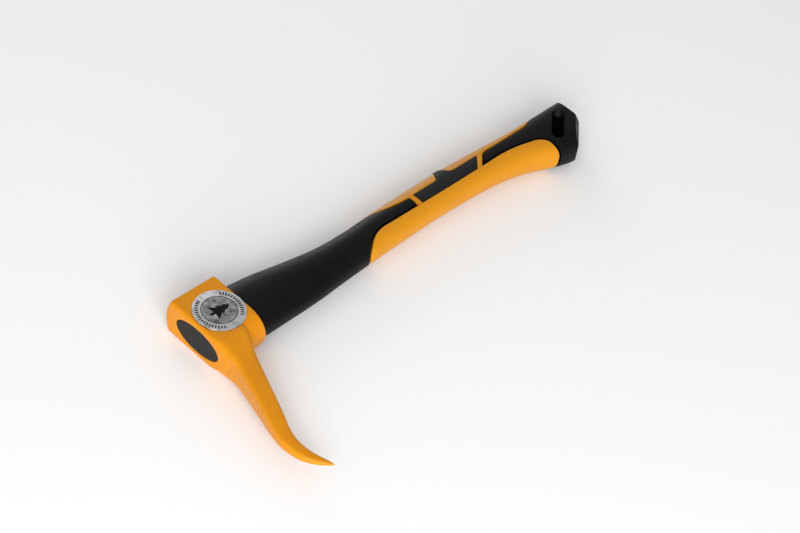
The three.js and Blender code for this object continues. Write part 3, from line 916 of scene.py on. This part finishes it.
def bar_plan(bar):
    """The unrolled outline of one bar: it reaches a little way under the strip and the panel."""
    top, low = REAR_LAND_TOP + 1, LAND_LOW - 1
    ends = [
        (bar.low_x - bar.low_width / 2, low), (bar.low_x + bar.low_width / 2, low),
        (bar.top_x + bar.top_width / 2, top), (bar.top_x - bar.top_width / 2, top),
    ]
    return flattened(list(zip(ends, ends[1:] + ends[:1])), from_spine=False)[:-1]


grip_parts = [
    bent(raised(belly_plan, PANEL_BASE, 0, PANEL_EDGE), from_spine=False),
    bent(raised(front_plan, PANEL_BASE, 0, PANEL_EDGE), from_spine=True),
    bent(raised(rear_plan, PANEL_BASE, 0, PANEL_EDGE), from_spine=True),
]
for bar in (FRONT_BAR, REAR_BAR):
    near = bar_plan(bar)
    for side in (1, -1):
        plan = [Vector((p.x, side * p.y)) for p in near]
        grip_parts.append(bent(raised(plan, BAR_BASE, BAR_TOP, BAR_EDGE), from_spine=False))

yellow = moulding(
    "yellow_moulding", specular=0.32, dark=(0.585, 0.228, 0.0015), light=(0.62, 0.246, 0.002),
    grain_scale=2600, grain_strength=0.3, shiny=0.34, dull=0.46)
add_piece(
    "grip_moulding", joined(*grip_parts), [yellow],
    stands_for=("yellow_grip",), smooth_below=40)

# ---------------------------------------------------------------------------------------------
# Thumb rest: a softer black inlay, fixed in its own recess between the bars. It passes over the spine
# through the break in the strips, where it stands up a little.
REST_BASE, REST_TOP, REST_EDGE = -2.6, 0.05, 0.4
SWELL_X, SWELL_HEIGHT, SWELL_LENGTH, SWELL_GIRTH = 234, 0.95, 8, 20
REST_LOW_REACH, REST_TOP_TRIM = 0.9, 0.8
rest_front = FRONT_BAR.top_x + FRONT_BAR.top_width / 2
rest_low_rear = REAR_BAR.low_x - REAR_BAR.low_width / 2 + REST_LOW_REACH
rest_top_rear = REAR_BAR.top_x - REAR_BAR.top_width / 2 - REST_TOP_TRIM
rest_plan = widened(both_sides(flattened((
    ((233, 20), (233, 12.8)),
    ((233, 12.8), (229.7, 9.1)),
    ((229.7, 9.1), (225.6, 4.4)),
    ((225.6, 4.4), (224.5, LAND_TOP), (221.5, LAND_TOP)),
    ((221.5, LAND_TOP), (rest_front, LAND_TOP)),
    ((rest_front, LAND_TOP), (rest_front, LAND_LOW)),
    ((rest_front, LAND_LOW), (rest_low_rear, LAND_LOW)),
    ((rest_low_rear, LAND_LOW), (rest_top_rear, REAR_LAND_TOP)),
    ((rest_top_rear, REAR_LAND_TOP), (243, REAR_LAND_TOP)),
    ((243, REAR_LAND_TOP), (239.6, REAR_LAND_TOP), (239, 4)),
    ((239, 4), (236.8, 10)),
    ((236.8, 10), (236, 20)),
), from_spine=True)), -PANEL_GAP)


def thumb_swell(x, girth):
    """How much the rest stands up at x, this far round from the spine."""
    along = math.exp(-((x - SWELL_X) / SWELL_LENGTH) ** 2)
    return SWELL_HEIGHT * along * max(0, 1 - (girth / SWELL_GIRTH) ** 2)


soft_black = moulding(
    "soft_black_inlay", specular=0.25, dark=(0.0045, 0.0050, 0.0053), light=(0.0068, 0.0074, 0.0078),
    grain_scale=1900, grain_strength=0.7, shiny=0.5, dull=0.62)
add_piece(
    "thumb_rest_inlay", bent(raised(rest_plan, REST_BASE, REST_TOP, REST_EDGE), True, thumb_swell),
    [soft_black],
    stands_for=("thumb_rest",), smooth_below=40)

# ---------------------------------------------------------------------------------------------
# Floor, light and camera: the tool lies on a plain pale sheet. A large soft box stands past the head on
# the pick's side, a smaller one across the tool lights the spine, and the camera looks down from past
# the head, also on the pick's side.
scene = bpy.context.scene
scene.view_settings.view_transform = "Standard"

AIM = (144.84, -39.68, 0.0)
CAMERA_DISTANCE = 1645.9
CAMERA_LENS, CAMERA_SENSOR = 100, 36
CAMERA_AZIMUTH, CAMERA_ELEVATION, CAMERA_ROLL = (math.radians(a) for a in (-53, 45, 11))
camera_data = bpy.data.cameras.new("studio_camera")
camera_data.lens = CAMERA_LENS
camera_data.sensor_width = CAMERA_SENSOR
camera_data.clip_end = 20
camera = bpy.data.objects.new("studio_camera", camera_data)
scene.collection.objects.link(camera)
back = Vector((
    math.sin(CAMERA_AZIMUTH) * math.cos(CAMERA_ELEVATION),
    -math.cos(CAMERA_AZIMUTH) * math.cos(CAMERA_ELEVATION),
    math.sin(CAMERA_ELEVATION),
))
right = (-back).cross(Vector((0, 0, 1))).normalized()
up = right.cross(-back)
rolled_right = right * math.cos(CAMERA_ROLL) + up * math.sin(CAMERA_ROLL)
rolled_up = up * math.cos(CAMERA_ROLL) - right * math.sin(CAMERA_ROLL)
turned = Matrix((rolled_right, rolled_up, back)).transposed().to_4x4()
camera.matrix_world = Matrix.Translation(tool_place @ Vector(AIM) + back * CAMERA_DISTANCE / 1000) @ turned
scene.camera = camera

floor_bm = bmesh.new()
bmesh.ops.create_grid(floor_bm, x_segments=1, y_segments=1, size=6)
floor_mesh = bpy.data.meshes.new("floor")
floor_bm.to_mesh(floor_mesh)
floor_bm.free()
floor = bpy.data.objects.new("floor", floor_mesh)
scene.collection.objects.link(floor)
paper = Finish("pale_paper", roughness=0.9, specular=0.1)
paper.shader.inputs["Base Color"].default_value = (0.96, 0.96, 0.955, 1)
floor_mesh.materials.append(paper.material)

world = bpy.data.worlds.new("studio")
scene.world = world
world.use_nodes = True
world.node_tree.nodes["Background"].inputs["Color"].default_value = (1, 1, 1, 1)
world.node_tree.nodes["Background"].inputs["Strength"].default_value = 0.5


def soft_light(name, place, size, power):
    """A square soft box that faces the tool."""
    data = bpy.data.lights.new(name, "AREA")
    data.shape = "SQUARE"
    data.size = size
    data.energy = power
    lamp = bpy.data.objects.new(name, data)
    scene.collection.objects.link(lamp)
    lamp.location = place
    lamp.rotation_euler = (-Vector(place)).to_track_quat("-Z", "Y").to_euler()


soft_light("key_box", place=(-1.5, -1.5, 0.75), size=2.0, power=74)
soft_light("fill_box", place=(0.7, 1.9, 0.4), size=1.2, power=12)
